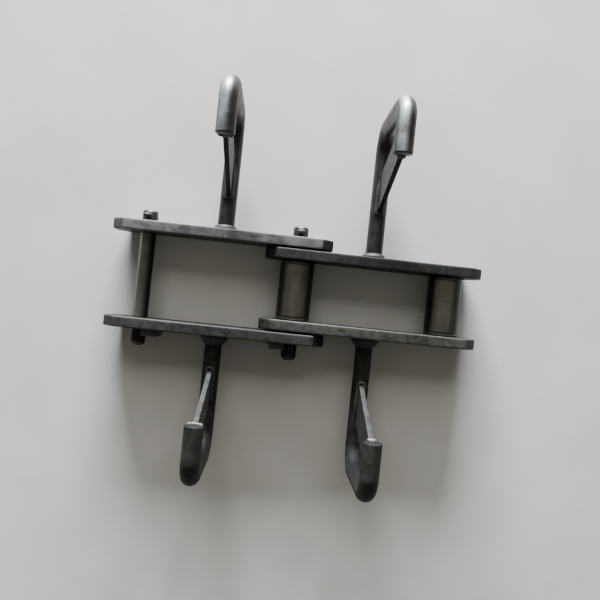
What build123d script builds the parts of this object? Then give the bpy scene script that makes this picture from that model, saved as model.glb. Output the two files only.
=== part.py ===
from build123d import *
from math import cos, radians, sin
import os

# Two links of a welded conveyor chain that carries bent-bar flights.
# X runs along the chain, Y across it and Z up. The chain rests on the lower edges of its plates.
# The origin lies on that ground plane, under the pin that joins the outer link (-X) to the inner link (+X).
# "front" is the -Y side, where keepers lock the pins, and "back" is the +Y side, where split pins do.

# Link plates
pitch = 160.0
plate_height = 45.0
plate_thickness = 11.0
plate_overhang = 35.0
plate_corner = 12.0
plate_corner_round = 1.5
plate_edge_break = 0.8
inner_width = 64.0
link_gap = 2.0

# Pins, bushes and rollers
pin_diameter = 16.0
pin_front_length = 18.0
pin_back_length = 12.0
pin_front_chamfer = 3.0
pin_back_chamfer = 1.5
pin_plate_fit = 0.05
bush_diameter = 23.0
bush_proud = 0.5
bush_mouth_chamfer = 0.6
bush_plate_fit = 0.02
pin_running_fit = 0.08
roller_diameter = 36.0
roller_running_fit = 0.1
roller_side_play = 1.0
roller_edge_chamfer = 1.5

# Keepers, which sit in a slot milled across the front end of each pin
keeper_length = 16.0
keeper_thickness = 7.0
keeper_height = 34.0
keeper_corner = 1.0
keeper_fit = 0.3
keeper_slot_depth = 2.6
keeper_weld_leg = 3.5

# Split pins, bent from half-round wire
split_pin_diameter = 4.0
split_pin_fit = 0.25
split_pin_eye_radius = 2.8
split_pin_neck_turn = 50.0
split_pin_leg_gap = 0.1
split_pin_end_length = 5.0
split_pin_end_bend = 3.0
split_pin_end_angle = 55.0
split_pin_stand_off = 0.4

# Flights: a round bar, bent up and back over at its outer end, and a flat brace that fills half the hook
bar_diameter = 18.0
flight_half_width = 188.0
hook_height = 113.0
foot_bend_radius = 25.0
crown_bend_radius = 18.0
tip_reach = 130.0
tip_edge_break = 0.8
brace_thickness = 5.0
brace_foot = 88.0
brace_foot_width = 41.0
brace_tip_inset = 3.0
brace_riser_gap = 15.0

# Weld beads
root_weld_height = 6.0
root_weld_length = 9.0
brace_weld_leg = 3.5
brace_weld_short = 6.0
weld_seat = 0.1

# Places that follow from the sizes above
axis_height = plate_height / 2
pin_radius = pin_diameter / 2
bush_radius = bush_diameter / 2
bar_radius = bar_diameter / 2
inner_plate_inside = inner_width / 2
inner_plate_outside = inner_plate_inside + plate_thickness
outer_plate_inside = inner_plate_outside + link_gap
outer_plate_outside = outer_plate_inside + plate_thickness
riser = flight_half_width - bar_radius

# The brace's line from its foot to the tip, as (outwards, upwards) from the middle line of the foot
brace_top = (tip_reach + brace_tip_inset, hook_height)
brace_top_width = riser - brace_riser_gap - brace_top[0]
brace_lean = (brace_top[0] - brace_foot) / hook_height

# Each link has the X of its middle, the inside face of its plates and the holes that they need
links = {
    "outer": (-pitch / 2, outer_plate_inside, pin_diameter + 2 * pin_plate_fit),
    "inner": (pitch / 2, inner_plate_inside, bush_diameter + 2 * bush_plate_fit),
}
# Each side has its direction along Y
sides = {"front": -1, "back": 1}
# Each pin has its X and the direction along X in which its link lies
pins = {"lead": (-pitch, 1), "middle": (0, -1)}
# Each bush has its X
bushes = {"middle": 0, "end": pitch}


def save(part, name):
    """Label a finished piece and write it as one STEP file."""
    part.label = name
    export_step(part, f"parts/{name}.step")


def across(x, y):
    """A plane square to the pins, on their axis height, that looks along +Y."""
    return Plane(origin=(x, y, axis_height), x_dir=(1, 0, 0), z_dir=(0, 1, 0))


def flight_plane(x, side):
    """The plane of one flight: its own x runs outwards from the chain, its own y runs up."""
    return Plane(origin=(x, 0, axis_height), x_dir=(0, side, 0), z_dir=(side, 0, 0))


def make_plate(x, inside, side, hole_diameter):
    """A link plate with cropped corners and a hole at each pitch end."""
    low_y = min(inside * side, (inside + plate_thickness) * side)
    with BuildPart() as plate:
        with BuildSketch(across(x, low_y)) as outline:
            Rectangle(pitch + 2 * plate_overhang, plate_height)
            chamfer(outline.vertices(), plate_corner)
            fillet(outline.vertices(), plate_corner_round)
        extrude(amount=plate_thickness)
        rims = [face.outer_wire().edges() for face in plate.faces().filter_by(Axis.Y)]
        chamfer([edge for rim in rims for edge in rim], plate_edge_break)
        with BuildSketch(across(x, low_y)):
            with Locations((-pitch / 2, 0), (pitch / 2, 0)):
                Circle(hole_diameter / 2)
        extrude(amount=plate_thickness, mode=Mode.SUBTRACT)
    return plate.part


def make_pin(x, towards_link):
    """A round pin with a keeper slot at its front end and a split-pin hole at its back end."""
    front_y = -outer_plate_outside - pin_front_length
    back_y = outer_plate_outside + pin_back_length
    slot_thickness = keeper_thickness + keeper_fit
    with BuildPart() as pin:
        with BuildSketch(across(x, front_y)):
            Circle(pin_radius)
        extrude(amount=back_y - front_y)
        end_faces = pin.faces().filter_by(Axis.Y).sort_by(Axis.Y)
        chamfer(end_faces[0].edges(), pin_front_chamfer)
        chamfer(pin.faces().filter_by(Axis.Y).sort_by(Axis.Y)[-1].edges(), pin_back_chamfer)
        slot_x = x + towards_link * (pin_radius - keeper_slot_depth / 2)
        slot_y = -outer_plate_outside - slot_thickness / 2
        with Locations((slot_x, slot_y, axis_height)):
            Box(keeper_slot_depth, slot_thickness, pin_diameter, mode=Mode.SUBTRACT)
        split_pin_y = outer_plate_outside + pin_back_length / 2
        with Locations((x, split_pin_y, axis_height)):
            Cylinder(split_pin_diameter / 2 + split_pin_fit, pin_diameter, mode=Mode.SUBTRACT)
    return pin.part


def make_keeper(x, towards_link):
    """A flat bar against the front of the outer plate, with one long edge in the pin's slot."""
    near_edge = pin_radius - keeper_slot_depth + keeper_fit
    middle_x = x + towards_link * (near_edge + keeper_length / 2)
    middle_y = -outer_plate_outside - keeper_thickness / 2
    with BuildPart() as keeper:
        with Locations((middle_x, middle_y, axis_height)):
            Box(keeper_length, keeper_thickness, keeper_height)
        chamfer(keeper.faces().sort_by(Axis.Y)[0].edges(), keeper_corner)
    return keeper.part


def make_keeper_weld(x, towards_link):
    """The bead that ties a keeper to its plate, along the long edge away from the pin."""
    edge_x = x + towards_link * (pin_radius - keeper_slot_depth + keeper_fit + keeper_length)
    corner = Plane(
        origin=(edge_x, -outer_plate_outside, axis_height - keeper_height / 2),
        x_dir=(towards_link, 0, 0),
        z_dir=(0, 0, towards_link),
    )
    with BuildPart() as weld:
        with BuildSketch(corner):
            with BuildLine():
                Polyline((0, -keeper_weld_leg), (0, 0), (keeper_weld_leg, 0))
                Line((keeper_weld_leg, 0), (0, -keeper_weld_leg))
            make_face()
        extrude(amount=keeper_height * towards_link)
    return weld.part


def make_split_pin(x):
    """One half-round wire bent into an eye and two legs, whose ends are spread under the pin."""
    leg_x = split_pin_leg_gap / 2
    wire_radius = split_pin_diameter / 2 - leg_x
    neck_turn = radians(split_pin_neck_turn)
    neck_radius = (split_pin_eye_radius * cos(neck_turn) - leg_x) / (1 - cos(neck_turn))
    shank_end = pin_radius + split_pin_stand_off
    eye_top = shank_end + (neck_radius + split_pin_eye_radius) * sin(neck_turn) + split_pin_eye_radius
    upright = Plane(
        origin=(x, outer_plate_outside + pin_back_length / 2, axis_height),
        x_dir=(1, 0, 0),
        z_dir=(0, -1, 0),
    )
    with BuildPart() as split_pin:
        with BuildLine(upright) as half:
            eye = JernArc((0, eye_top), (1, 0), split_pin_eye_radius, -90 - split_pin_neck_turn)
            neck = JernArc(eye @ 1, eye % 1, neck_radius, split_pin_neck_turn)
            leg = Line(neck @ 1, (leg_x, -shank_end))
            spread = JernArc(leg @ 1, leg % 1, split_pin_end_bend, split_pin_end_angle)
            Line(spread @ 1, spread @ 1 + (spread % 1) * split_pin_end_length)
        for stretch in half.edges():
            with BuildSketch(Plane(origin=stretch @ 0, x_dir=(0, 1, 0), z_dir=stretch % 0)):
                Circle(wire_radius)
                Rectangle(2 * wire_radius, wire_radius, align=(Align.CENTER, Align.MAX), mode=Mode.SUBTRACT)
            sweep(path=stretch)
        mirror(about=Plane.YZ.offset(x))
    return split_pin.part


def make_bush(x):
    """A plain bush, pressed into both inner plates."""
    half_length = inner_plate_outside + bush_proud
    bore_radius = pin_radius + pin_running_fit
    with BuildPart() as bush:
        with BuildSketch(across(x, -half_length)):
            Circle(bush_radius)
            Circle(bore_radius, mode=Mode.SUBTRACT)
        extrude(amount=2 * half_length)
        mouths = [face.inner_wires()[0].edges() for face in bush.faces().filter_by(Axis.Y)]
        chamfer([edge for mouth in mouths for edge in mouth], bush_mouth_chamfer)
    return bush.part


def make_roller(x):
    """A roller that turns on its bush between the inner plates."""
    half_length = inner_plate_inside - roller_side_play
    with BuildPart() as roller:
        with BuildSketch(across(x, -half_length)):
            Circle(roller_diameter / 2)
            Circle(bush_radius + roller_running_fit, mode=Mode.SUBTRACT)
        extrude(amount=2 * half_length)
        rims = [face.outer_wire().edges() for face in roller.faces().filter_by(Axis.Y)]
        chamfer([edge for rim in rims for edge in rim], roller_edge_chamfer)
    return roller.part


def sweep_bar(x, side, root, radius):
    """A flight's bar: straight out from the plate, up in one bend, over in another, back to its tip."""
    with BuildPart() as bar:
        with BuildLine(flight_plane(x, side)) as path:
            foot = Line((root, 0), (riser - foot_bend_radius, 0))
            foot_bend = JernArc(foot @ 1, foot % 1, foot_bend_radius, 90)
            rise = Line(foot_bend @ 1, (riser, hook_height - crown_bend_radius))
            crown_bend = JernArc(rise @ 1, rise % 1, crown_bend_radius, 90)
            Line(crown_bend @ 1, (tip_reach, hook_height))
        with BuildSketch(Plane(origin=path.wires()[0] @ 0, z_dir=(0, side, 0))):
            Circle(radius)
        sweep(path=path.wires()[0])
    return bar.part


def make_flight(x, side, root):
    """A round bar with a square-cut tip, butt-welded to its plate."""
    with BuildPart() as flight:
        add(sweep_bar(x, side, root, bar_radius))
        tip_face = flight.faces().filter_by(GeomType.PLANE).sort_by(Axis.Z)[-1]
        chamfer(tip_face.edges(), tip_edge_break)
    return flight.part


def make_brace(x, side, root):
    """A flat plate on edge in the flight's plane, cut to fit the foot of the bar and its arm."""
    with BuildPart() as brace:
        with BuildSketch(flight_plane(x, side)):
            Polygon(
                (brace_foot, 0),
                (brace_foot + brace_foot_width, 0),
                (brace_top[0] + brace_top_width, hook_height),
                brace_top,
                align=None,
            )
        extrude(amount=brace_thickness / 2, both=True)
        add(sweep_bar(x, side, root, bar_radius + weld_seat), mode=Mode.SUBTRACT)
    return brace.part


def make_root_weld(x, side, root):
    """The bead that runs round a flight's bar where it meets its plate."""
    seat = bar_radius + weld_seat
    crest = bar_radius + root_weld_height
    waist = (root + root_weld_length / 3, (seat + crest) / 2)
    with BuildPart() as weld:
        with BuildSketch(flight_plane(x, side)):
            Polygon((root, seat), (root + root_weld_length, seat), waist, (root, crest), align=None)
        revolve(axis=Axis((x, 0, axis_height), (0, side, 0)))
    return weld.part


def make_brace_weld(x, side, root):
    """The beads along both faces of a brace, on top of the bar's foot and under its arm."""
    half_brace = brace_thickness / 2
    bead = [
        (half_brace, 0),
        (half_brace, bar_radius + brace_weld_leg),
        (half_brace + brace_weld_leg, bar_radius - half_brace),
        (half_brace + brace_weld_leg, 0),
    ]
    # Each run has the place on the bar's middle line where it starts, the way up from there, and its length
    runs = [
        ((brace_foot + bar_radius * brace_lean, 0), 1, brace_foot_width - brace_weld_short),
        (brace_top, -1, brace_top_width - brace_weld_short),
    ]
    with BuildPart() as weld:
        for start, upwards, length in runs:
            origin = flight_plane(x, side).from_local_coords((*start, 0))
            with BuildSketch(Plane(origin=origin, x_dir=(-side * upwards, 0, 0), z_dir=(0, side, 0))):
                Polygon(*bead, align=None)
                mirror(about=Plane.YZ)
            extrude(amount=length)
        add(sweep_bar(x, side, root, bar_radius + weld_seat), mode=Mode.SUBTRACT)
    return weld.part


os.makedirs("parts", exist_ok=True)
for link, (link_x, plate_inside, hole_diameter) in links.items():
    plate_outside = plate_inside + plate_thickness
    for side_name, side in sides.items():
        save(make_plate(link_x, plate_inside, side, hole_diameter), f"{link}_plate_{side_name}")
        save(make_flight(link_x, side, plate_outside), f"{link}_flight_{side_name}")
        save(make_brace(link_x, side, plate_outside), f"{link}_brace_{side_name}")
        save(make_root_weld(link_x, side, plate_outside), f"{link}_root_weld_{side_name}")
        save(make_brace_weld(link_x, side, plate_outside), f"{link}_brace_weld_{side_name}")
for name, (pin_x, towards_link) in pins.items():
    save(make_pin(pin_x, towards_link), f"{name}_pin")
    save(make_keeper(pin_x, towards_link), f"{name}_keeper")
    save(make_keeper_weld(pin_x, towards_link), f"{name}_keeper_weld")
    save(make_split_pin(pin_x), f"{name}_split_pin")
for name, bush_x in bushes.items():
    save(make_bush(bush_x), f"{name}_bush")
    save(make_roller(bush_x), f"{name}_roller")
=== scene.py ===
from math import atan2, cos, degrees, pi, radians, sin, sqrt, tan

import bmesh
import bpy
from mathutils import Matrix, Vector


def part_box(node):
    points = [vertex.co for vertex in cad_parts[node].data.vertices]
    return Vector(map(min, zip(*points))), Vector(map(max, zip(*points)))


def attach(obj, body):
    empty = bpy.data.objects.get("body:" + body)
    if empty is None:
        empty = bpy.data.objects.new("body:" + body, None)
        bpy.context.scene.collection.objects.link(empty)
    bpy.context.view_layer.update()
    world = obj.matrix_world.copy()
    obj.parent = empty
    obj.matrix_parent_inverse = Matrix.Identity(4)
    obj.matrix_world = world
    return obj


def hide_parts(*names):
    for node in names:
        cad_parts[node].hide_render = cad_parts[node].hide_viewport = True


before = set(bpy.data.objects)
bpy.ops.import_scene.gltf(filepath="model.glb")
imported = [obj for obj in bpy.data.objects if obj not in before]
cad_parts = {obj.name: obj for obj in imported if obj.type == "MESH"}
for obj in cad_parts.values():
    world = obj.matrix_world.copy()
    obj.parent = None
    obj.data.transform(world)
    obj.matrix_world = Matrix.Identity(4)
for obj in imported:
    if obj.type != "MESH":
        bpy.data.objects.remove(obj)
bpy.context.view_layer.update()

# ----- Link plates -----
# Four plates cut from hot-rolled flat bar, with their corners cropped off at the press and two
# holes bored through each. The edges are broken by hand. The outer pair stands outside the inner
# pair, and all four are left in black mill skin under a film of oil.

mm = 0.001
plate_pitch = 160 * mm
plate_top = 45 * mm
plate_corner = 12 * mm
plate_corner_round = 1.5 * mm
plate_edge_round = 0.9 * mm
plate_rub_width = 1.6 * mm
plate_holes = {"outer": 8.05 * mm, "inner": 11.52 * mm}
hole_edge_round = 0.5 * mm
hole_rub_width = 0.6 * mm
hole_steps = 56
sides = {"front": -1, "back": 1}


def new_tree(name, kind, inputs, outputs):
    """An empty node tree, and where its nodes read and write it. A socket is given by its value or kind."""
    tree = bpy.data.node_groups.new(name, kind)
    for direction, sockets in (("INPUT", inputs), ("OUTPUT", outputs)):
        for socket_name, value in sockets.items():
            socket_type = "NodeSocket" + {float: "Float", int: "Int"}.get(type(value), str(value))
            socket = tree.interface.new_socket(socket_name, in_out=direction, socket_type=socket_type)
            if not isinstance(value, str):
                socket.default_value = value
    return tree, tree.nodes.new("NodeGroupInput").outputs, tree.nodes.new("NodeGroupOutput").inputs


def fill(tree, socket, value):
    """Link another socket to an input, or set the input to a plain value."""
    if isinstance(value, bpy.types.NodeSocket):
        tree.links.new(value, socket)
    else:
        socket.default_value = value


def node(tree, kind, inputs=None, **settings):
    """Add one node, set its plain settings and fill its inputs."""
    made = tree.nodes.new(kind)
    for key, value in settings.items():
        setattr(made, key, value)
    for key, value in (inputs or {}).items():
        fill(tree, made.inputs[key], value)
    return made


def noise(tree, where, scale, detail=3.0, roughness=0.55, distortion=0.0):
    """The value of a noise texture read at a place."""
    inputs = {
        "Vector": where, "Scale": scale, "Detail": detail, "Roughness": roughness, "Distortion": distortion,
    }
    return node(tree, "ShaderNodeTexNoise", inputs).outputs["Fac"]


def maths(tree, operation, *values):
    """One step of arithmetic on values or sockets."""
    return node(tree, "ShaderNodeMath", dict(enumerate(values)), operation=operation).outputs[0]


def times(tree, first, second):
    """One value or socket times another."""
    return maths(tree, "MULTIPLY", first, second)


def plus(tree, first, second):
    """One value or socket plus another."""
    return maths(tree, "ADD", first, second)


def between(tree, value, low, high, to_low=0.0, to_high=1.0):
    """A value taken smoothly from one range to another, held at its ends."""
    inputs = {"Value": value, "From Min": low, "From Max": high, "To Min": to_low, "To Max": to_high}
    return node(tree, "ShaderNodeMapRange", inputs, interpolation_type="SMOOTHSTEP").outputs["Result"]


def mixed(tree, share, first, second):
    """Two colours mixed by a share."""
    return node(tree, "ShaderNodeMix", {0: share, 6: first, 7: second}, data_type="RGBA").outputs[2]


def stretched(tree, where, stretch):
    """A place read on axes of different scale, for marks that run one way."""
    return node(tree, "ShaderNodeMapping", {"Vector": where, "Scale": stretch}).outputs["Vector"]


# Mill skin: cloudy oxide, pits where scale has flaked, and the fine grain of rolled steel
mill_skin, skin_in, skin_out = new_tree(
    "mill_skin",
    "ShaderNodeTree",
    {"Place": "Vector", "Cloud size": 60.0, "Grain size": 900.0},
    {"Cloud": "Float", "Flaked": "Float", "Height": "Float"},
)
cloud = noise(mill_skin, skin_in["Place"], skin_in["Cloud size"], 5.0, 0.62, 0.4)
flake_size = times(mill_skin, skin_in["Cloud size"], 4.3)
flaked = between(mill_skin, noise(mill_skin, skin_in["Place"], flake_size, 4.0, 0.7), 0.56, 0.70)
grain = noise(mill_skin, skin_in["Place"], skin_in["Grain size"], 2.0, 0.6)
tone = plus(mill_skin, times(mill_skin, cloud, 0.55), times(mill_skin, grain, 0.45))
grain_relief = plus(mill_skin, times(mill_skin, grain, 0.35), times(mill_skin, flaked, -0.5))
mill_skin.links.new(between(mill_skin, tone, 0.34, 0.66), skin_out["Cloud"])
mill_skin.links.new(flaked, skin_out["Flaked"])
mill_skin.links.new(plus(mill_skin, grain_relief, cloud), skin_out["Height"])

# Rubbed steel: where handling and other parts have thinned the skin along an edge, unevenly. The same
# share also lays a painted highlight on the back flights, rollers and pins
rubbed_and_highlit, rub_in, rub_out = new_tree(
    "rubbed_and_highlit",
    "ShaderNodeTree",
    {"Place": "Vector", "Wear": 0.0, "Amount": 0.6, "Least": 0.25},
    {"Bare": "Float"},
)
patch = noise(rubbed_and_highlit, rub_in["Place"], 70.0, 5.0, 0.6)
nick = noise(rubbed_and_highlit, rub_in["Place"], 640.0, 3.0, 0.65)
broken = plus(rubbed_and_highlit, times(rubbed_and_highlit, patch, 0.6), times(rubbed_and_highlit, nick, 0.4))
thinned = between(rubbed_and_highlit, broken, 0.36, 0.64, rub_in["Least"], 1.0)
worn_and_highlit_share = times(rubbed_and_highlit, times(rubbed_and_highlit, thinned, rub_in["Wear"]), rub_in["Amount"])
rubbed_and_highlit.links.new(maths(rubbed_and_highlit, "MINIMUM", worn_and_highlit_share, 1.0), rub_out["Bare"])

# Shop dust and dried oil that dull the tops
shop_dust, dust_in, dust_out = new_tree(
    "shop_dust", "ShaderNodeTree", {"Place": "Vector", "Amount": 0.4}, {"Dust": "Float"}
)
facing = node(shop_dust, "ShaderNodeNewGeometry").outputs["Normal"]
upward = node(shop_dust, "ShaderNodeSeparateXYZ", {"Vector": facing}).outputs["Z"]
drift = noise(shop_dust, dust_in["Place"], 38.0, 6.0, 0.72, 0.6)
settled = times(shop_dust, between(shop_dust, upward, 0.25, 0.95), between(shop_dust, drift, 0.38, 0.72))
shop_dust.links.new(times(shop_dust, settled, dust_in["Amount"]), dust_out["Dust"])


def placed(tree, group, **values):
    """A shared effect placed in one material with its own values."""
    made = node(tree, "ShaderNodeGroup", node_tree=group)
    for key, value in values.items():
        fill(tree, made.inputs[key.replace("_", " ")], value)
    return made.outputs


def shade(value, warm=0.0, green=0.0):
    """A grey of a given brightness, made a little warmer or greener."""
    return (value * (1 + warm), value * (1 + green), value * (1 - warm), 1.0)


def steel(
    name, dark, light, bare_and_highlight, rough=(0.42, 0.6), bare_rough=0.3, metal=0.5, shine=0.5, cloud_size=60.0,
    grain_size=900.0, edge_amount=0.6, least_rub=0.25, dust_amount=0.1, dust_colour=(0.11, 0.107, 0.10, 1.0),
    lay=None, lay_depth=0.0, lay_tone=0.0, highlight_crest=None, painted_shade_ends=None, painted_shade_inside=0.0,
):
    """Oiled steel in its mill skin. The mesh's wear_and_highlight attribute says where the skin is rubbed
    off, and on the back flights, rollers and pins also where a painted highlight lies.

    The lay is how closely fine marks follow each other along each axis. The highlight crest holds the
    rubbing and its painted highlight to a range of headings along X. The painted shade at the ends and inside
    darkens faces by their heading, as painted shade where the light hardly reaches.
    """
    finish = bpy.data.materials.new(name)
    finish.use_nodes = True
    tree = finish.node_tree
    surface = tree.nodes["Principled BSDF"].inputs
    coordinates = node(tree, "ShaderNodeTexCoord").outputs
    place = coordinates["Object"]
    heading = node(tree, "ShaderNodeSeparateXYZ", {"Vector": coordinates["Normal"]}).outputs
    wear_and_highlight = node(tree, "ShaderNodeAttribute", attribute_name="wear_and_highlight").outputs["Fac"]
    # The highlight crest keeps the rubbing, and the painted highlight it lays, to a band of headings along X
    if highlight_crest is not None:
        rising = between(tree, heading["X"], highlight_crest[0], highlight_crest[1])
        falling = between(tree, heading["X"], highlight_crest[2], highlight_crest[3], 1.0, 0.0)
        wear_and_highlight = times(tree, wear_and_highlight, times(tree, rising, falling))
    skin = placed(tree, mill_skin, Place=place, Cloud_size=cloud_size, Grain_size=grain_size)
    height = skin["Height"]
    if lay is not None:
        marks = noise(tree, stretched(tree, place, lay), 1.0, 3.0, 0.6)
        height = plus(tree, height, times(tree, marks, lay_depth))
        if lay_tone:
            wear_and_highlight = times(tree, wear_and_highlight, between(tree, marks, 0.38, 0.62, 1.0 - lay_tone, 1.0))
    rub_and_highlight = placed(tree, rubbed_and_highlit, Place=place, Wear=wear_and_highlight, Amount=edge_amount, Least=least_rub)["Bare"]
    dust = placed(tree, shop_dust, Place=place, Amount=dust_amount)["Dust"]
    skin_colour = mixed(tree, skin["Cloud"], dark, light)
    flake_colour = mixed(tree, times(tree, skin["Flaked"], 0.45), skin_colour, dark)
    colour = mixed(tree, rub_and_highlight, mixed(tree, dust, flake_colour, dust_colour), bare_and_highlight)
    # Painted shade on faces turned along X, the plates' cropped ends
    if painted_shade_ends is not None:
        low_end_shade = between(tree, heading["X"], -0.4, -0.75, 0.0, painted_shade_ends[0])
        high_end_shade = between(tree, heading["X"], 0.4, 0.75, 0.0, painted_shade_ends[1])
        colour = mixed(tree, plus(tree, low_end_shade, high_end_shade), colour, shade(0.006))
    # Painted shade on faces turned towards +Y, inside the front hooks
    if painted_shade_inside:
        colour = mixed(tree, between(tree, heading["Y"], 0.1, 0.8, 0.0, painted_shade_inside), colour, shade(0.003))
    skin_rough = between(tree, skin["Cloud"], 0.0, 1.0, rough[0], rough[1])
    dust_rough = plus(tree, skin_rough, times(tree, dust, 0.35))
    rough_left = times(tree, dust_rough, maths(tree, "SUBTRACT", 1.0, rub_and_highlight))
    relief = node(tree, "ShaderNodeBump", {"Height": height, "Strength": 0.25, "Distance": 0.12 * mm})
    tree.links.new(colour, surface["Base Color"])
    tree.links.new(plus(tree, rough_left, times(tree, rub_and_highlight, bare_rough)), surface["Roughness"])
    tree.links.new(relief.outputs["Normal"], surface["Normal"])
    surface["Metallic"].default_value = metal
    surface["Specular IOR Level"].default_value = shine
    return finish


def turned(arrow, angle):
    """A flat arrow turned to the left by an angle."""
    return Vector((arrow.x * cos(angle) - arrow.y * sin(angle), arrow.x * sin(angle) + arrow.y * cos(angle)))


def circle(x, y, z, radius, worn, steps):
    """A ring of (place, wear) points about an axis that runs across the chain."""
    turns = [2 * pi * step / steps for step in range(steps)]
    return [((x + radius * cos(turn), y, z + radius * sin(turn)), worn) for turn in turns]


def loft(form, rings, ends="open"):
    """Skin a row of rings of (place, wear) points, each ring to the next, and give back their points."""
    wear_and_highlight = form.verts.layers.float.get("wear_and_highlight") or form.verts.layers.float.new("wear_and_highlight")
    made = []
    for ring in rings:
        verts = [form.verts.new(place) for place, worn in ring]
        for vert, (place, worn) in zip(verts, ring):
            vert[wear_and_highlight] = worn
        made.append(verts)
    for first, second in zip(made, made[1:] + (made[:1] if ends == "joined" else [])):
        for corners in zip(first, first[1:] + first[:1], second[1:] + second[:1], second):
            form.faces.new(corners)
    if ends == "capped":
        form.faces.new(made[0])
        form.faces.new(made[-1])
    return made


def sharpen(mesh, corner=32):
    """Shade a mesh smooth, with its corners left sharp."""
    form = bmesh.new()
    form.from_mesh(mesh)
    for face in form.faces:
        face.smooth = True
    for edge in form.edges:
        edge.smooth = not (len(edge.link_faces) == 2 and edge.calc_face_angle(0.0) > radians(corner))
    form.to_mesh(mesh)
    form.free()


def finished_mesh(form, corner=32):
    """Close the making of a mesh, with its faces turned outwards and its corners left sharp."""
    bmesh.ops.recalc_face_normals(form, faces=form.faces)
    mesh = bpy.data.meshes.new("finished")
    form.to_mesh(mesh)
    form.free()
    sharpen(mesh, corner)
    return mesh


def in_scene(name, data):
    """A new object in the scene."""
    made = bpy.data.objects.new(name, data)
    bpy.context.scene.collection.objects.link(made)
    return made


def hang(name, mesh, finish, body, slot, *nodes):
    """Put a finished mesh in the scene on its body, in place of its CAD nodes."""
    mesh.name = name
    mesh.materials.clear()
    mesh.materials.append(finish)
    piece = in_scene(name, mesh)
    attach(piece, body)
    if nodes:
        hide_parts(*nodes)


def plate_outline(half_length, half_height, inset):
    """The cropped rectangle of a plate, drawn in by an inset, with its corners rounded."""
    length = half_length - inset
    height = half_height - inset
    crop = plate_corner - inset * (2 - sqrt(2))
    corners = []
    for sign_x, sign_z in ((1, -1), (1, 1), (-1, 1), (-1, -1)):
        flat = Vector((sign_x * (length - crop), sign_z * height))
        upright = Vector((sign_x * length, sign_z * (height - crop)))
        corners += [upright, flat] if sign_x == sign_z else [flat, upright]
    radius = max(plate_corner_round - inset, 0.1 * mm)
    points = []
    for place, corner in enumerate(corners):
        arriving = (corner - corners[place - 1]).normalized()
        leaving = (corners[(place + 1) % len(corners)] - corner).normalized()
        bend = arriving.angle(leaving)
        start = corner - arriving * radius * tan(bend / 2)
        middle = start + Vector((-arriving.y, arriving.x)) * radius
        points += [middle + turned(start - middle, bend * step / 3) for step in range(4)]
    return points


def quarter_round(radius, steps):
    """The (inset, depth) steps of a rounded edge, from one face to the next."""
    turns = [radians(90) * step / steps for step in range(steps + 1)]
    return [(radius * (1 - sin(turn)), radius * (1 - cos(turn))) for turn in turns]


def edge_section(thickness, edge_round, rub_width, face_worn, edge_worn, wall):
    """The section of a rounded edge, from one face of a plate to the other, as (inset, depth, wear)."""
    near = [(edge_round + rub_width, 0.0, face_worn)]
    near += [(inset, depth, edge_worn) for inset, depth in quarter_round(edge_round, 3)] + wall
    far = [(inset, thickness - depth, worn) for inset, depth, worn in reversed(near)]
    return near + [(0.0, thickness / 2, 0.0)] + far


def plate_mesh(low, high, hole_radius):
    """A plate with rounded edges, and rings beside them that hold the rubbed band narrow."""
    middle = (low + high) / 2
    size = high - low
    form = bmesh.new()
    rim = []
    wall = [(0.0, plate_edge_round + plate_rub_width, 0.1)]
    for inset, depth, worn in edge_section(size.y, plate_edge_round, plate_rub_width, 0.0, 1.0, wall):
        outline = plate_outline(size.x / 2, size.z / 2, inset)
        rim.append([((middle.x + point.x, low.y + depth, middle.z + point.y), worn) for point in outline])
    skins = [loft(form, rim)]
    hole_section = edge_section(size.y, hole_edge_round, hole_rub_width, 0.2, 0.8, [])
    for hole_x in (middle.x - plate_pitch / 2, middle.x + plate_pitch / 2):
        bore = [
            circle(hole_x, low.y + depth, middle.z, hole_radius + inset, worn, hole_steps)
            for inset, depth, worn in hole_section
        ]
        skins.append(loft(form, bore))
    for face in (0, -1):
        rings = [skin[face] for skin in skins]
        pairs = [pair for ring in rings for pair in zip(ring[-1:] + ring[:-1], ring)]
        edges = [form.edges.get(pair) for pair in pairs]
        bmesh.ops.triangle_fill(form, use_beauty=True, use_dissolve=False, edges=edges)
    return finished_mesh(form)


plate_look = dict(
    rough=(0.52, 0.68), bare_rough=0.6, cloud_size=110.0, grain_size=420.0, least_rub=0.1,
    lay=(30, 200, 900), lay_depth=0.6,
)
# Each plate's cropped ends carry painted shade by their heading, darker at the +X end
plate_finishes = {
    ("outer", "back"): steel(
        "outer_back_plate_steel", shade(0.030), shade(0.085), shade(0.15), edge_amount=0.5,
        dust_amount=1.0, dust_colour=shade(0.17), painted_shade_ends=(0.5, 0.85), **plate_look,
    ),
    ("outer", "front"): steel(
        "outer_front_plate_steel", shade(0.009, 0.05, 0.03), shade(0.044, 0.05, 0.03), shade(0.06),
        dust_amount=0.12, painted_shade_ends=(0.4, 0.8), **plate_look,
    ),
    ("inner", "back"): steel(
        "inner_back_plate_steel", shade(0.003), shade(0.018, 0.03, 0.02), shade(0.04),
        edge_amount=0.5, dust_amount=0.12, painted_shade_ends=(0.2, 0.7), **plate_look,
    ),
    ("inner", "front"): steel(
        "inner_front_plate_steel", shade(0.017, 0.05, 0.03), shade(0.074, 0.05, 0.03), shade(0.06),
        dust_amount=0.12, painted_shade_ends=(0.4, 0.7), **plate_look,
    ),
}

smear_start = 112 * mm
smear_end = 146 * mm
smear_width = 3 * mm
smear_depth = 2.4 * mm
smear_colour = (0.085, 0.028, 0.025, 1.0)


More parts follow.
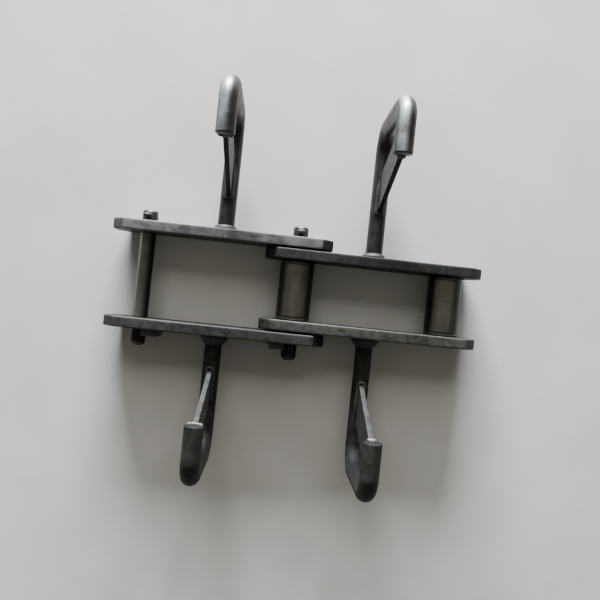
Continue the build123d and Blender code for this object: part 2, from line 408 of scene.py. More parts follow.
def paint_smear(finish, edge_y):
    """A dry smear of paint along the top outer edge of a plate, left by something that scraped past."""
    tree = finish.node_tree
    base = tree.nodes["Principled BSDF"].inputs["Base Color"]
    steel_colour = base.links[0].from_socket
    place = node(tree, "ShaderNodeTexCoord").outputs["Object"]
    axes = node(tree, "ShaderNodeSeparateXYZ", {"Vector": place}).outputs
    streaks = noise(tree, stretched(tree, place, (0.5, 1.0, 1.0)), 420.0, 4.0, 0.7)
    share = between(tree, axes["X"], smear_start - 2 * mm, smear_start + 2 * mm)
    for limit in (
        between(tree, axes["X"], smear_end - 6 * mm, smear_end + 2 * mm, 1.0, 0.0),
        between(tree, axes["Y"], edge_y - smear_width, edge_y - smear_width / 3),
        between(tree, axes["Z"], plate_top - smear_depth, plate_top - smear_depth / 2),
        between(tree, streaks, 0.42, 0.58, 0.1, 1.0),
    ):
        share = times(tree, share, limit)
    tree.links.new(mixed(tree, share, steel_colour, smear_colour), base)


paint_smear(plate_finishes["inner", "back"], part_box("inner_plate_back")[1].y)
for (link, side_name), finish in plate_finishes.items():
    cad_node = f"{link}_plate_{side_name}"
    mesh = plate_mesh(*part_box(cad_node), plate_holes[link])
    hang(f"{cad_node}_bar", mesh, finish, f"{link}_link", "plate_steel", cad_node)

# ----- Flights -----
# Four round bars, each bent hot over formers into a square hook that reaches back over the chain, and
# cut square at its tip. The foot stays in dark scale. The crown and arm are rubbed pale by the load, and on
# the back flights they carry a painted highlight that fades towards the tip. The front flights carry painted
# shade on the faces inside their hooks.

bar_radius = 9 * mm
bar_skin = 0.06 * mm
axis_height = 22.5 * mm
riser_reach = 179 * mm
hook_height = 113 * mm
foot_bend_radius = 25 * mm
crown_bend_radius = 18 * mm
tip_reach = 130 * mm
tip_chamfer = 0.8 * mm
# The wear along the arm, rubbing with a painted highlight that fades towards the tip
arm_wear_and_highlight = (0.95, 0.72, 0.60, 0.76, 0.72, 0.52, 0.40)
flight_x = {"outer": -plate_pitch / 2, "inner": plate_pitch / 2}


def every_flight():
    """Each flight's link, side, X, direction along Y, and how far out its plate's outer face is."""
    for link, x in flight_x.items():
        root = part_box(f"{link}_plate_back")[1].y
        for side_name, side in sides.items():
            yield link, side_name, x, side, root


def on_flight(x, side, outwards, upwards, along=0.0):
    """A place on a flight, from how far out and up it is from the middle of its foot."""
    return Vector((x + along, side * outwards, axis_height + upwards))


def bar_line(root):
    """The bar's middle line from plate to tip: how far out and up, the share of its full radius, its wear
    and painted highlight.
    """
    foot_end = riser_reach - foot_bend_radius
    arm_start = riser_reach - crown_bend_radius
    arm_end = tip_reach + 1.5 * tip_chamfer
    crown_start = hook_height - crown_bend_radius
    line = [(root + (foot_end - root) * step / 12, 0.0, 1.0, 0.0) for step in range(13)]
    for step in range(1, 17):
        turn = radians(90) * step / 16
        line.append((foot_end + foot_bend_radius * sin(turn), foot_bend_radius * (1 - cos(turn)), 1.0, 0.0))
    for step in range(1, 9):
        rise = foot_bend_radius + (crown_start - foot_bend_radius) * step / 8
        line.append((riser_reach, rise, 1.0, 0.7 * (step / 8) ** 2))
    for step in range(1, 17):
        turn = radians(90) * step / 16
        outwards = riser_reach - crown_bend_radius * (1 - cos(turn))
        line.append((outwards, crown_start + crown_bend_radius * sin(turn), 1.0, 0.7 + 0.3 * step / 16))
    for step, worn in enumerate(arm_wear_and_highlight, 1):
        line.append((arm_start + (arm_end - arm_start) * step / len(arm_wear_and_highlight), hook_height, 1.0, worn))
    for back, share in ((1.0, 1.0), (0.5, 0.975), (0.15, 0.93), (0.0, 0.9)):
        line.append((tip_reach + back * tip_chamfer, hook_height, share, 0.0))
    return line


def bar_runs(x, side, line):
    """A bar's middle line in its place, as one open run."""
    return [([on_flight(x, side, outwards, upwards) for outwards, upwards, share, worn in line], False)]


def read_attribute(tree, name):
    """A number that the line's points carry."""
    attribute = node(tree, "GeometryNodeInputNamedAttribute", {"Name": name}, data_type="FLOAT")
    return attribute.outputs["Attribute"]


def as_curve(tree, line):
    """A curve that follows a mesh of points and edges."""
    return node(tree, "GeometryNodeMeshToCurve", {"Mesh": line}).outputs[0]


def round_section(tree, steps, radius):
    """A round section."""
    return node(tree, "GeometryNodeCurvePrimitiveCircle", {"Resolution": steps, "Radius": radius}).outputs[0]


def swept(tree, curve, section):
    """A section drawn along a curve, at the share of its size that the curve's points carry."""
    share = read_attribute(tree, "share")
    inputs = {"Curve": curve, "Profile Curve": section, "Scale": share, "Fill Caps": True}
    return node(tree, "GeometryNodeCurveToMesh", inputs).outputs[0]


def lumps(tree, scale):
    """Uneven numbers about zero that change from place to place."""
    place = node(tree, "GeometryNodeInputPosition").outputs[0]
    return maths(tree, "SUBTRACT", noise(tree, place, scale, 2.0), 0.5)


def swollen(tree, shape, height):
    """A shape with its points moved out along their normals."""
    normal = node(tree, "GeometryNodeInputNormal").outputs[0]
    offset = node(tree, "ShaderNodeVectorMath", {0: normal, "Scale": height}, operation="SCALE").outputs[0]
    return node(tree, "GeometryNodeSetPosition", {"Geometry": shape, "Offset": offset}).outputs[0]


def finish_tree(tree, material, shape, end):
    """Close a tree: smooth, with its material, and no instances left."""
    smooth = node(tree, "GeometryNodeSetShadeSmooth", {"Geometry": shape}).outputs[0]
    real = node(tree, "GeometryNodeRealizeInstances", {"Geometry": smooth}).outputs[0]
    dressed = node(tree, "GeometryNodeSetMaterial", {"Geometry": real, "Material": material}).outputs[0]
    tree.links.new(dressed, end)


def baked(carrier, modifier):
    """The mesh that an object's modifier makes of it, as a plain mesh. The object goes."""
    bpy.context.view_layer.update()
    mesh = bpy.data.meshes.new_from_object(carrier.evaluated_get(bpy.context.evaluated_depsgraph_get()))
    carrier.modifiers.remove(modifier)
    bpy.data.objects.remove(carrier)
    return mesh


def grown(runs, tree, values, carried):
    """Run a Geometry Nodes tree on runs of (points, closed), and keep its result as a plain mesh."""
    points, edges = [], []
    for run, closed in runs:
        first, last = len(points), len(points) + len(run) - 1
        points += run
        edges += [(place, place + 1) for place in range(first, last)]
        if closed:
            edges.append((last, first))
    line = bpy.data.meshes.new("line")
    line.from_pydata(points, edges, [])
    for key, numbers in carried.items():
        line.attributes.new(key, "FLOAT", "POINT").data.foreach_set("value", numbers)
    carrier = in_scene("line", line)
    modifier = carrier.modifiers.new("grow", "NODES")
    modifier.node_group = tree
    for item in tree.interface.items_tree:
        if item.in_out == "INPUT" and item.name in values:
            modifier[item.identifier] = values[item.name]
    return baked(carrier, modifier)


bent_bar, bar_in, bar_out = new_tree(
    "bent_bar",
    "GeometryNodeTree",
    {
        "Geometry": "Geometry",
        "Bar radius": bar_radius,
        "Steps round": 48,
        "Unevenness": 0.12 * mm,
        "Material": "Material",
    },
    {"Geometry": "Geometry"},
)
bar_ring = round_section(bent_bar, bar_in["Steps round"], bar_in["Bar radius"])
bar_swept = swept(bent_bar, as_curve(bent_bar, bar_in["Geometry"]), bar_ring)
bar_uneven = swollen(bent_bar, bar_swept, times(bent_bar, lumps(bent_bar, 55.0), bar_in["Unevenness"]))
finish_tree(bent_bar, bar_in["Material"], bar_uneven, bar_out["Geometry"])

# The back flights' highlight crest keeps the rubbing to a band of headings across the bar, as a painted
# highlight down the crown and arm. The front flights carry painted shade on their faces turned to the chain.
flight_finishes = {
    "back": steel(
        "back_flight_steel", shade(0.010, -0.02), shade(0.036, -0.03), shade(0.50, -0.08),
        rough=(0.36, 0.5), bare_rough=0.34, cloud_size=70.0, edge_amount=1.0, least_rub=0.35,
        dust_amount=0.05, highlight_crest=(-1.0, -0.6, -0.35, 0.4),
    ),
    "front": steel(
        "front_flight_steel", shade(0.002, 0.08, 0.04), shade(0.023, 0.10, 0.05), shade(0.026, 0.08, 0.04),
        rough=(0.60, 0.74), bare_rough=0.62, metal=0.1, shine=0.2, cloud_size=95.0, grain_size=420.0,
        edge_amount=0.8, dust_amount=0.05, painted_shade_inside=0.8,
    ),
}
for link, side_name, x, side, root in every_flight():
    finish = flight_finishes[side_name]
    line = bar_line(root)
    carried = {"share": [step[2] for step in line], "wear_and_highlight": [step[3] for step in line]}
    values = {"Bar radius": bar_radius - bar_skin, "Material": finish}
    cad_node = f"{link}_flight_{side_name}"
    mesh = grown(bar_runs(x, side, line), bent_bar, values, carried)
    sharpen(mesh)
    hang(f"{cad_node}_bar", mesh, finish, f"{link}_link", "bar_steel", cad_node)

# ----- Root welds -----
# A fillet bead run all round each flight's foot where it stands on its plate, laid by hand in short
# weaves that leave a ripple about every two millimetres. Scale stays on it.

weld_ripple = 1.9 * mm
root_bead_radius = 3.6 * mm
# Each pass has its distance from the plate, how far its middle stands off the bar, and its size
root_passes = {
    "back": ((1.5 * mm, 0.6 * mm, 0.72), (3.2 * mm, -0.6 * mm, 0.6)),
    "front": ((1.7 * mm, 2.0 * mm, 1.0), (4.6 * mm, 0.3 * mm, 0.9), (7.4 * mm, -0.9 * mm, 0.65)),
}


def store(tree, shape, name, value):
    """A shape whose points carry a number."""
    inputs = {"Geometry": shape, "Name": name, "Value": value}
    return node(tree, "GeometryNodeStoreNamedAttribute", inputs, data_type="FLOAT", domain="POINT").outputs[0]


weld_bead, bead_in, bead_out = new_tree(
    "weld_bead",
    "GeometryNodeTree",
    {
        "Geometry": "Geometry",
        "Bead radius": 3 * mm,
        "Ripple spacing": weld_ripple,
        "Ripple height": 0.32 * mm,
        "Steps round": 18,
        "Material": "Material",
    },
    {"Geometry": "Geometry"},
)
bead_line = node(
    weld_bead,
    "GeometryNodeResampleCurve",
    {
        "Curve": as_curve(weld_bead, bead_in["Geometry"]),
        "Length": maths(weld_bead, "DIVIDE", bead_in["Ripple spacing"], 6.0),
    },
    mode="LENGTH",
)
# The line carries how far along it each point is, and the section how far round
spline = node(weld_bead, "GeometryNodeSplineParameter").outputs
bead_run = store(weld_bead, bead_line.outputs[0], "run", spline["Length"])
bead_ring = round_section(weld_bead, bead_in["Steps round"], bead_in["Bead radius"])
bead_swept = swept(weld_bead, bead_run, store(weld_bead, bead_ring, "round", spline["Factor"]))
# Each ripple rises fast and falls away slowly, and bows back along the bead's sides
bead_bow = maths(weld_bead, "COSINE", times(weld_bead, read_attribute(weld_bead, "round"), 4 * pi))
bead_share = maths(weld_bead, "DIVIDE", read_attribute(weld_bead, "run"), bead_in["Ripple spacing"])
bead_fall = maths(weld_bead, "FRACT", plus(weld_bead, bead_share, times(weld_bead, bead_bow, 0.28)))
bead_crest = maths(weld_bead, "SINE", times(weld_bead, maths(weld_bead, "POWER", bead_fall, 0.6), pi))
bead_lumps = times(weld_bead, lumps(weld_bead, 260.0), 1.6)
bead_rise = plus(weld_bead, maths(weld_bead, "SUBTRACT", bead_crest, 0.75), bead_lumps)
bead_shape = swollen(weld_bead, bead_swept, times(weld_bead, bead_rise, bead_in["Ripple height"]))
bead_worn = store(weld_bead, bead_shape, "wear_and_highlight", times(weld_bead, bead_crest, 0.9))
finish_tree(weld_bead, bead_in["Material"], bead_worn, bead_out["Geometry"])


def bead_mesh(runs, radius, finish):
    """Weld runs of (points, closed, size) as one mesh. An open run tapers at its ends."""
    shares = []
    for run, closed, size in runs:
        last = len(run) - 1
        for place in range(len(run)):
            taper = min(0.45 + 5.0 * min(place, last - place) / last, 1.0)
            shares.append(size if closed else size * taper)
    values = {"Bead radius": radius, "Material": finish}
    return grown([run[:2] for run in runs], weld_bead, values, {"share": shares})


root_weld_finish = steel(
    "root_weld_steel", shade(0.014, 0.03), shade(0.045, 0.02), shade(0.08), rough=(0.46, 0.62),
    bare_rough=0.42, cloud_size=160.0, grain_size=1600.0, edge_amount=0.4,
)
for link, side_name, x, side, root in every_flight():
    runs = []
    for reach, stand_off, size in root_passes[side_name]:
        radius = bar_radius + stand_off
        turns = [2 * pi * step / 72 for step in range(72)]
        ring = [on_flight(x, side, root + reach, radius * sin(turn), radius * cos(turn)) for turn in turns]
        runs.append((ring, True, size))
    cad_node = f"{link}_root_weld_{side_name}"
    mesh = bead_mesh(runs, root_bead_radius, root_weld_finish)
    hang(f"{cad_node}_bead", mesh, root_weld_finish, f"{link}_link", "weld_metal", cad_node)

# ----- Braces -----
# A wide strip of flat bar on edge inside each hook, sheared on the slant and coped to the round of
# the bar at its foot and under its arm, so that the load can't open the hook. Its edges are ground.

brace_thickness = 5 * mm
brace_foot = 88 * mm
brace_foot_width = 41 * mm
brace_top = tip_reach + 3 * mm
brace_top_width = 31 * mm
brace_lean = (brace_top - brace_foot) / hook_height
brace_edge_round = 0.6 * mm
brace_rub_width = 1.2 * mm
brace_rows = 26
cope_gap = 0.1 * mm


def cut_away(mesh, cutter):
    """A mesh with another mesh's shape cut out of it."""
    body = in_scene("to_cut", mesh)
    tool = in_scene("cutter", cutter)
    cut = body.modifiers.new("cut", "BOOLEAN")
    cut.operation = "DIFFERENCE"
    cut.solver = "EXACT"
    cut.object = tool
    result = baked(body, cut)
    bpy.data.objects.remove(tool)
    sharpen(result)
    return result


def brace_mesh(x, side, root):
    """A slanted plate with rounded long edges, coped round the bar at both ends."""
    half = brace_thickness / 2
    rounding = [(inset, half - depth, 0.9) for inset, depth in reversed(quarter_round(brace_edge_round, 3))]
    # A quarter of the section, as (inwards, along, wear), from the middle of the edge that faces the chain
    quarter = [(0.0, 0.0, 0.6), *rounding, (brace_edge_round + brace_rub_width, half, 0.0)]
    section = [(0, inwards, along, worn) for inwards, along, worn in quarter]
    section += [(1, -inwards, along, worn) for inwards, along, worn in reversed(quarter)]
    section += [(edge, inwards, -along, worn) for edge, inwards, along, worn in section[-2:0:-1]]
    rings = []
    for row in range(brace_rows + 1):
        reach = row / brace_rows
        near_edge = brace_foot + (brace_top - brace_foot) * reach
        width = brace_foot_width + (brace_top_width - brace_foot_width) * reach
        rings.append([
            (on_flight(x, side, near_edge + edge * width + inwards, hook_height * reach, along), worn)
            for edge, inwards, along, worn in section
        ])
    form = bmesh.new()
    loft(form, rings, "capped")
    line = bar_line(root)
    values = {"Bar radius": bar_radius + cope_gap, "Unevenness": 0.0}
    carried = {"share": [1.0] * len(line)}
    cutter = grown(bar_runs(x, side, line), bent_bar, values, carried)
    return cut_away(finished_mesh(form), cutter)


brace_look = dict(
    rough=(0.42, 0.62), bare_rough=0.45, cloud_size=130.0, grain_size=500.0, least_rub=0.0,
    dust_amount=0.05, lay=(500, 60, 60), lay_depth=0.5,
)
brace_finishes = {
    "back": steel("back_brace_steel", shade(0.003), shade(0.018), shade(0.016), **brace_look),
    "front": steel(
        "front_brace_steel", shade(0.004), shade(0.026), shade(0.060), edge_amount=1.0, **brace_look
    ),
}
for link, side_name, x, side, root in every_flight():
    cad_node = f"{link}_brace_{side_name}"
    mesh = brace_mesh(x, side, root)
    hang(f"{cad_node}_strip", mesh, brace_finishes[side_name], f"{link}_link", "brace_steel", cad_node)

# ----- Brace welds -----
# Dark fillet beads along both faces of a brace, on top of the bar's foot and under its arm. Each tip
# has one more bead across its lower edge, laid last and still bright, longer on the outer link.

brace_bead_radius = 2.2 * mm
brace_bead_side = brace_thickness / 2 + 1.0 * mm
brace_bead_lift = bar_radius - 0.4 * mm
tip_bead_radius = 2.0 * mm
tip_bead_spreads = {"outer": radians(58), "inner": radians(30)}
tip_bead_sizes = {"outer": 0.75, "inner": 1.15}


def loop_round(start, stop, wrap, lift):
    """A bead along one face of a brace, round its edge and back along the other, as on_flight takes it."""
    run = [(stop + (start - stop) * step / 12, lift, brace_bead_side) for step in range(13)]
    back = [(outwards, upwards, -along) for outwards, upwards, along in reversed(run)]
    for step in range(1, 12):
        turn = pi * step / 12
        run.append((start - wrap * sin(turn), lift, brace_bead_side * cos(turn)))
    return run + back


def tip_bead(spread):
    """The bead across the tip's lower edge, that follows its round as far to both sides as it was laid."""
    run = []
    for step in range(17):
        turn = spread * (step / 8 - 1)
        fall = (bar_radius - 0.9 * mm) * cos(turn)
        run.append((tip_reach + 0.2 * mm, hook_height - fall, 0.9 * bar_radius * sin(turn)))
    return run


weld_finish = steel(
    "weld_bead_steel", shade(0.025, 0.03), shade(0.075, 0.02), shade(0.34), rough=(0.4, 0.6),
    bare_rough=0.34, cloud_size=160.0, grain_size=1600.0, least_rub=0.0,
)
foot_bead_start = brace_foot + bar_radius * brace_lean
brace_beads = [
    loop_round(foot_bead_start, brace_foot + brace_foot_width - 4 * mm, 1.8 * mm, brace_bead_lift),
    loop_round(brace_top, brace_top + brace_top_width - 6 * mm, 1.2 * mm, hook_height - brace_bead_lift),
]
for link, side_name, x, side, root in every_flight():
    runs = [([on_flight(x, side, *place) for place in run], False, 1.0) for run in brace_beads]
    cad_node = f"{link}_brace_weld_{side_name}"
    mesh = bead_mesh(runs, brace_bead_radius, root_weld_finish)
    hang(f"{cad_node}_bead", mesh, root_weld_finish, f"{link}_link", "weld_metal", cad_node)
    tip_run = [on_flight(x, side, *place) for place in tip_bead(tip_bead_spreads[link])]
    mesh = bead_mesh([(tip_run, False, tip_bead_sizes[link])], tip_bead_radius, weld_finish)
    hang(f"{link}_tip_weld_{side_name}_bead", mesh, weld_finish, f"{link}_link", "weld_metal")

# ----- Bushes -----
# Two case-hardened tubes pressed through both inner plates, with their ends just proud and their
# mouths countersunk. Only the ends and the bore of the open one show.

bush_radius = 11.5 * mm
bush_bore = 8.08 * mm
bush_edge_round = 0.5 * mm
bush_mouth_chamfer = 0.6 * mm
bush_places = {"middle": 0.0, "end": plate_pitch}


def tube_outline(half_length, outer, inner, outer_round, inner_chamfer):
    """The (y, radius, wear) rings of a tube's whole section, rounded outside and chamfered at its mouths."""
    rings = []
    for side in (1, -1):
        end = [(half_length, inner + inner_chamfer, 0.8), (half_length, outer - outer_round * 1.6, 0.3)]
        end += [(half_length - depth, outer - inset, 1.0) for inset, depth in quarter_round(outer_round, 4)]
        end += [(half_length - reach * outer_round, outer, 0.0) for reach in (2.0, 3.2)]
        rings += [(side * y, radius, worn) for y, radius, worn in end[::side]]
    mouth = half_length - inner_chamfer
    return rings + [(-mouth, inner, 0.4), (mouth, inner, 0.4)]


def turned_form(x, outline, steps, ends):
    """A part turned on a lathe about the pin axis at one X, from (y, radius, wear) rings."""
    form = bmesh.new()
    loft(form, [circle(x, y, axis_height, radius, worn, steps) for y, radius, worn in outline], ends)
    return form


bush_finish = steel(
    "bush_steel", shade(0.05, 0.04, 0.01), shade(0.09, 0.03, 0.01), shade(0.30), rough=(0.3, 0.42),
    metal=0.9, cloud_size=90.0, lay=(60, 1500, 60), lay_depth=0.7,
)
for name, x in bush_places.items():
    cad_node = f"{name}_bush"
    half_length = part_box(cad_node)[1].y
    outline = tube_outline(half_length, bush_radius, bush_bore, bush_edge_round, bush_mouth_chamfer)
    mesh = finished_mesh(turned_form(x, outline, steps=96, ends="joined"))
    hang(f"{cad_node}_tube", mesh, bush_finish, "inner_link", "bush_steel", cad_node)

# ----- Rollers -----
# Two plain steel rollers cut from thick tube and turned, free on their bushes. Their treads carry a
# warm film of old oil, drawn out along them. On the side that lies up they are rubbed bright and carry a
# painted highlight, and painted shade is left at both ends.

roller_radius = 18 * mm
roller_bore = 11.6 * mm
roller_edge_round = 1.5 * mm
roller_mouth_chamfer = 0.8 * mm
# Painted shade: the rubbing stops this far short of each end, so both ends of the tread stay dark
end_shade_margin = 4 * mm
# The angles from the top towards +X where the rubbing and its painted highlight start, are full, start to
# fade and have gone
rubbed_and_highlit_faces = {"middle": (-50, -34, 8, 56), "end": (-58, -38, 8, 40)}


def rub_face(form, x, half_length, first, full, fading, last):
    """Mark where a turned part's face is rubbed and carries a painted highlight, by angle round its axis."""
    wear_and_highlight = form.verts.layers.float["wear_and_highlight"]
    for vert in form.verts:
        turn = degrees(atan2(vert.co.x - x, vert.co.z - axis_height))
        if abs(vert.co.y) < half_length:
            vert[wear_and_highlight] = max(0.0, min(1.0, (turn - first) / (full - first), (last - turn) / (last - fading)))


roller_finish = steel(
    "roller_steel", shade(0.022, 0.09, 0.05), shade(0.044, 0.08, 0.05), shade(0.235, 0.08, 0.06),
    rough=(0.34, 0.44), bare_rough=0.32, metal=1.0, cloud_size=70.0, edge_amount=1.0, least_rub=0.75,
    dust_amount=0.04, lay=(130, 9, 130), lay_depth=0.5, lay_tone=0.3,
)
for name, x in bush_places.items():
    cad_node = f"{name}_roller"
    half_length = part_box(cad_node)[1].y
    outline = tube_outline(half_length, roller_radius, roller_bore, roller_edge_round, roller_mouth_chamfer)
    form = turned_form(x, outline, steps=128, ends="joined")
    rub_face(form, x, half_length - end_shade_margin, *rubbed_and_highlit_faces[name])
    hang(f"{cad_node}_turned", finished_mesh(form), roller_finish, cad_node, "roller_steel", cad_node)

# ----- Pins -----
# Two round steel pins right across the outer link, chamfered at both ends. Each has a slot milled
# across its front end for the keeper, and a hole drilled through its back end for the split pin.

pin_radius = 8 * mm
pin_front_chamfer = 3 * mm
pin_back_chamfer = 1.5 * mm
# Rubbing and a painted highlight on the pins' upper left side, as angles from the top towards +X
pin_rubbed_and_highlit_face = (-95, -55, -25, 45)
slot_depth = 2.6 * mm
slot_width = 7.3 * mm
split_hole_radius = 2.25 * mm
split_hole_inset = 6 * mm
# Each pin has its X and the direction along X in which its link lies
pin_places = {"lead": (-plate_pitch, 1), "middle": (0.0, -1)}


def block_form(low, high):
    """A plain block."""
    form = bmesh.new()
    bmesh.ops.create_cube(form, size=1.0)
    centre = (Vector(low) + Vector(high)) / 2
    stretch = Matrix.Diagonal((*(Vector(high) - Vector(low)), 1.0))
    bmesh.ops.transform(form, matrix=Matrix.Translation(centre) @ stretch, verts=form.verts)
    return form


def drill_form(centre, radius, length):
    """A drill's shape standing upright."""
    form = bmesh.new()
    place = Matrix.Translation(centre)
    bmesh.ops.create_cone(
        form, cap_ends=True, segments=40, radius1=radius, radius2=radius, depth=length, matrix=place
    )
    return form


def pin_outline(front, back, inside):
    """The (y, radius, wear) rings of a pin, from the middle of its front face to that of its back face."""
    return [
        (front, 0.02 * mm, 0.1),
        (front, pin_radius - pin_front_chamfer - 0.3 * mm, 0.1),
        (front + 0.1 * mm, pin_radius - pin_front_chamfer + 0.05 * mm, 0.2),
        (front + pin_front_chamfer - 0.1 * mm, pin_radius - 0.12 * mm, 0.2),
        (front + pin_front_chamfer + 0.3 * mm, pin_radius, 0.1),
        (front + 2 * pin_front_chamfer, pin_radius, 0.0),
        *((y, pin_radius, 0.0) for y in (-inside, 2 * mm - inside, inside - 2 * mm, inside)),
        (back - 4 * mm, pin_radius, 0.3),
        (back - pin_back_chamfer - 0.2 * mm, pin_radius, 0.3),
        (back - pin_back_chamfer + 0.2 * mm, pin_radius - 0.15 * mm, 0.3),
        (back - 0.1 * mm, pin_radius - pin_back_chamfer + 0.1 * mm, 0.2),
        (back, pin_radius - pin_back_chamfer - 0.2 * mm, 0.2),
        (back, 0.02 * mm, 0.2),
    ]


pin_finish = steel(
    "pin_steel", shade(0.014, 0.05, 0.02), shade(0.034, 0.04, 0.02), shade(0.25, 0.06, 0.05),
    rough=(0.36, 0.48), bare_rough=0.42, metal=0.9, cloud_size=80.0, edge_amount=0.9, least_rub=0.7,
    dust_amount=0.06, lay=(60, 1300, 60), lay_depth=0.6,
)
for name, (x, toward_link) in pin_places.items():
    cad_node = f"{name}_pin"
    low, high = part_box(cad_node)
    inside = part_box("outer_plate_back")[0].y
    form = turned_form(x, pin_outline(low.y, high.y, inside), steps=72, ends="capped")
    rub_face(form, x, inside, *pin_rubbed_and_highlit_face)
    outer_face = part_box("outer_plate_front")[0].y
    slot_x = sorted(x + toward_link * (pin_radius + past) for past in (-slot_depth, 2 * mm))
    slot_low = (slot_x[0], outer_face - slot_width, axis_height - 2 * pin_radius)
    slot_high = (slot_x[1], outer_face, axis_height + 2 * pin_radius)
    mesh = cut_away(finished_mesh(form), finished_mesh(block_form(slot_low, slot_high)))
    drill = drill_form((x, high.y - split_hole_inset, axis_height), split_hole_radius, 4 * pin_radius)
    mesh = cut_away(mesh, finished_mesh(drill))
    hang(f"{cad_node}_round", mesh, pin_finish, "outer_link", "pin_steel", cad_node)

# ----- Keepers -----
# Two short bits of flat bar, each dropped in its pin's slot against the front plate and welded there,
# so that the pin can neither turn nor slide. All their edges are softened.

keeper_round = 0.9 * mm


def keeper_mesh(low, high):
    """A sheared flat with softened edges, rubbed along them."""
    form = block_form(low, high)
    bmesh.ops.bevel(
        form, geom=form.edges[:], offset=keeper_round, segments=3, profile=0.6, affect="EDGES",
        clamp_overlap=True,
    )
    centre = (low + high) / 2
    half = (high - low) / 2
    wear_and_highlight = form.verts.layers.float.new("wear_and_highlight")
    for vert in form.verts:
        away = vert.co - centre
        near_side = [abs(away[axis]) > half[axis] - 1.05 * keeper_round for axis in range(3)]
        vert[wear_and_highlight] = 1.0 if sum(near_side) >= 2 else 0.0
    return finished_mesh(form, corner=40)


keeper_finish = steel(
    "keeper_steel", shade(0.018), shade(0.035), shade(0.12), edge_amount=0.5, dust_amount=0.2,
    lay=(200, 60, 700), lay_depth=0.5,
)
for name in pin_places:
    cad_node = f"{name}_keeper"
    mesh = keeper_mesh(*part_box(cad_node))
    hang(f"{cad_node}_flat", mesh, keeper_finish, "outer_link", "keeper_steel", cad_node)

# ----- Keeper welds -----
# One upright fillet bead on each keeper, along the edge away from its pin, that ties it to the plate.
# It is laid bottom to top in one pass.

keeper_bead_radius = 2.2 * mm
keeper_bead_corner = 0.9 * mm
keeper_bead_inset = 2.6 * mm
for name, (x, toward_link) in pin_places.items():
    cad_node = f"{name}_keeper_weld"
    low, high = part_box(f"{name}_keeper")
    bead_x = (high.x if toward_link > 0 else low.x) + toward_link * keeper_bead_corner
    bead_y = high.y - keeper_bead_corner
    start, stop = low.z + keeper_bead_inset, high.z - keeper_bead_inset
    run = [Vector((bead_x, bead_y, start + (stop - start) * step / 24)) for step in range(25)]
    mesh = bead_mesh([(run, False, 1.0)], keeper_bead_radius, weld_finish)
    hang(f"{cad_node}_bead", mesh, weld_finish, "outer_link", "weld_metal", cad_node)

# ----- Split pins -----
# One half-round wire in each pin's back end, folded into an eye above the pin, with its two legs flat
# together down the hole and spread by hand underneath. A little paler where it was bent.

wire_radius = 1.95 * mm
wire_corner = 0.25 * mm
wire_steps = 14
eye_radius = 2.8 * mm
neck_turn = radians(50)
leg_x = 0.05 * mm
leg_end_length = 5 * mm
leg_end_bend = 3 * mm
leg_end_turn = radians(55)
neck_radius = (eye_radius * cos(neck_turn) - leg_x) / (1 - cos(neck_turn))
shank_end = pin_radius + 0.4 * mm
eye_top = shank_end + (neck_radius + eye_radius) * sin(neck_turn) + eye_radius


def bend_on(line, radius, turn, steps):
    """Carry a line of (place, heading) on round a bend, to the left if the turn is above zero."""
    place, heading = line[-1]
    centre = place + Vector((-heading.y, heading.x)) * radius * (1 if turn > 0 else -1)
    for step in range(1, steps + 1):
        angle = turn * step / steps
        line.append((centre + turned(place - centre, angle), turned(heading, angle)))


def wire_half():
    """Half of the wire's middle line, from the top of its eye to the end of one leg, as (place, heading)."""
    line = [(Vector((0.0, eye_top)), Vector((1.0, 0.0)))]
    bend_on(line, eye_radius, -(radians(90) + neck_turn), 18)
    bend_on(line, neck_radius, neck_turn, 8)
    top = Vector((leg_x, line[-1][0].y))
    bottom = Vector((leg_x, -shank_end))
    line += [(top + (bottom - top) * step / 4, Vector((0.0, -1.0))) for step in range(1, 5)]
    bend_on(line, leg_end_bend, leg_end_turn, 7)
    place, heading = line[-1]
    return line + [(place + heading * leg_end_length * step / 3, heading) for step in range(1, 4)]


def split_pin_mesh(x, y):
    """The folded wire: a half-round section with its flat face turned to the other leg."""
    half = wire_half()
    other = [(Vector((-place.x, place.y)), Vector((aim.x, -aim.y))) for place, aim in reversed(half[1:])]
    turns = [pi * step / wire_steps for step in range(wire_steps + 1)]
    section = [(wire_radius * cos(turn), wire_radius * sin(turn)) for turn in turns]
    section += [(edge, -wire_corner * 0.4) for edge in (wire_corner - wire_radius, wire_radius - wire_corner)]
    rings = []
    for place, heading in other + half:
        ring = []
        for across, out in section:
            spot = place + Vector((-heading.y, heading.x)) * out
            bent = spot.y > eye_top - 2 * eye_radius or spot.y < -shank_end - 4 * mm
            ring.append(((x + spot.x, y + across, axis_height + spot.y), 1.0 if bent else 0.4))
        rings.append(ring)
    form = bmesh.new()
    loft(form, rings, "capped")
    return finished_mesh(form, corner=40)


split_pin_finish = steel(
    "split_pin_wire", shade(0.012, 0.02), shade(0.05, 0.02), shade(0.10), rough=(0.5, 0.62), bare_rough=0.5,
    shine=0.2, cloud_size=420.0, edge_amount=0.5, least_rub=0.0,
)
for name, (x, toward_link) in pin_places.items():
    cad_node = f"{name}_split_pin"
    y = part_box(f"{name}_pin")[1].y - split_hole_inset
    mesh = split_pin_mesh(x, y)
    hang(f"{cad_node}_wire", mesh, split_pin_finish, "outer_link", "split_pin_wire", cad_node)

# ----- Floor -----
# A plain pale board under the chain. It is not part of the object.

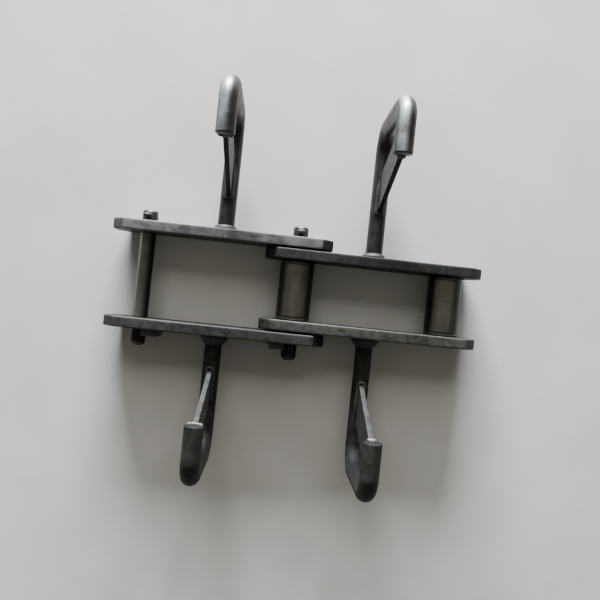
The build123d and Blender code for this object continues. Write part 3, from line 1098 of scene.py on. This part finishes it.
floor_half = 4.0
floor_mesh = bpy.data.meshes.new("floor_board")
floor_corners = [(x * floor_half, y * floor_half, 0.0) for x, y in ((-1, -1), (1, -1), (1, 1), (-1, 1))]
floor_mesh.from_pydata(floor_corners, [], [(0, 1, 2, 3)])
floor = in_scene("floor_board", floor_mesh)
floor_finish = bpy.data.materials.new("pale_board")
floor_finish.use_nodes = True
floor_tree = floor_finish.node_tree
floor_surface = floor_tree.nodes["Principled BSDF"].inputs
floor_place = node(floor_tree, "ShaderNodeTexCoord").outputs["Object"]
floor_cloud = between(floor_tree, noise(floor_tree, floor_place, 9.0, 5.0, 0.6), 0.3, 0.7)
floor_colour = mixed(floor_tree, floor_cloud, (0.50, 0.50, 0.49, 1.0), (0.56, 0.56, 0.555, 1.0))
floor_tree.links.new(floor_colour, floor_surface["Base Color"])
floor_surface["Roughness"].default_value = 0.75
floor_mesh.materials.append(floor_finish)

# ----- Lights -----
# One wide soft window well beyond the back of the chain, the paler wall above it, and a dim warm room
# all round.


def soft_light(name, place, aim, width, height, power, colour):
    """A rectangular soft light that looks at a point."""
    light = bpy.data.lights.new(name, "AREA")
    light.shape = "RECTANGLE"
    light.size, light.size_y = width, height
    light.energy = power
    light.color = colour
    lamp = in_scene(name, light)
    lamp.location = place
    lamp.rotation_euler = (Vector(place) - Vector(aim)).to_track_quat("Z", "Y").to_euler()


soft_light(
    "window", place=(-0.33, 3.0, 0.56), aim=(0.0, 0.0, 0.05), width=1.5, height=0.58, power=790.0,
    colour=(0.94, 0.975, 1.0),
)
soft_light(
    "far_wall", place=(-0.15, 1.9, 1.30), aim=(0.0, 0.0, 0.0), width=2.4, height=1.5, power=44.0,
    colour=(1.0, 0.97, 0.9),
)
room = bpy.data.worlds.new("room")
room.use_nodes = True
room_light = room.node_tree.nodes["Background"].inputs
room_light["Color"].default_value = (1.0, 0.94, 0.80, 1.0)
room_light["Strength"].default_value = 0.208
bpy.context.scene.world = room

# ----- Camera -----
# It looks almost straight down at the chain, turned a little so that the chain runs down to the right.
# The lean is an axis and an angle in one, and the place is measured along the leaned axes.

camera_lean = Vector((-0.002, 0.042, -0.105))
camera_place = Vector((6.38, -9.83, 708.1)) * mm
camera_data = bpy.data.cameras.new("camera")
camera = in_scene("camera", camera_data)
camera_turn = Matrix.Rotation(camera_lean.length, 3, camera_lean.normalized()).transposed()
camera.matrix_world = Matrix.Translation(camera_turn @ camera_place) @ camera_turn.to_4x4()
camera_data.sensor_width = 36
camera_data.lens = 38.58
camera_data.clip_start = 0.01
bpy.context.scene.camera = camera
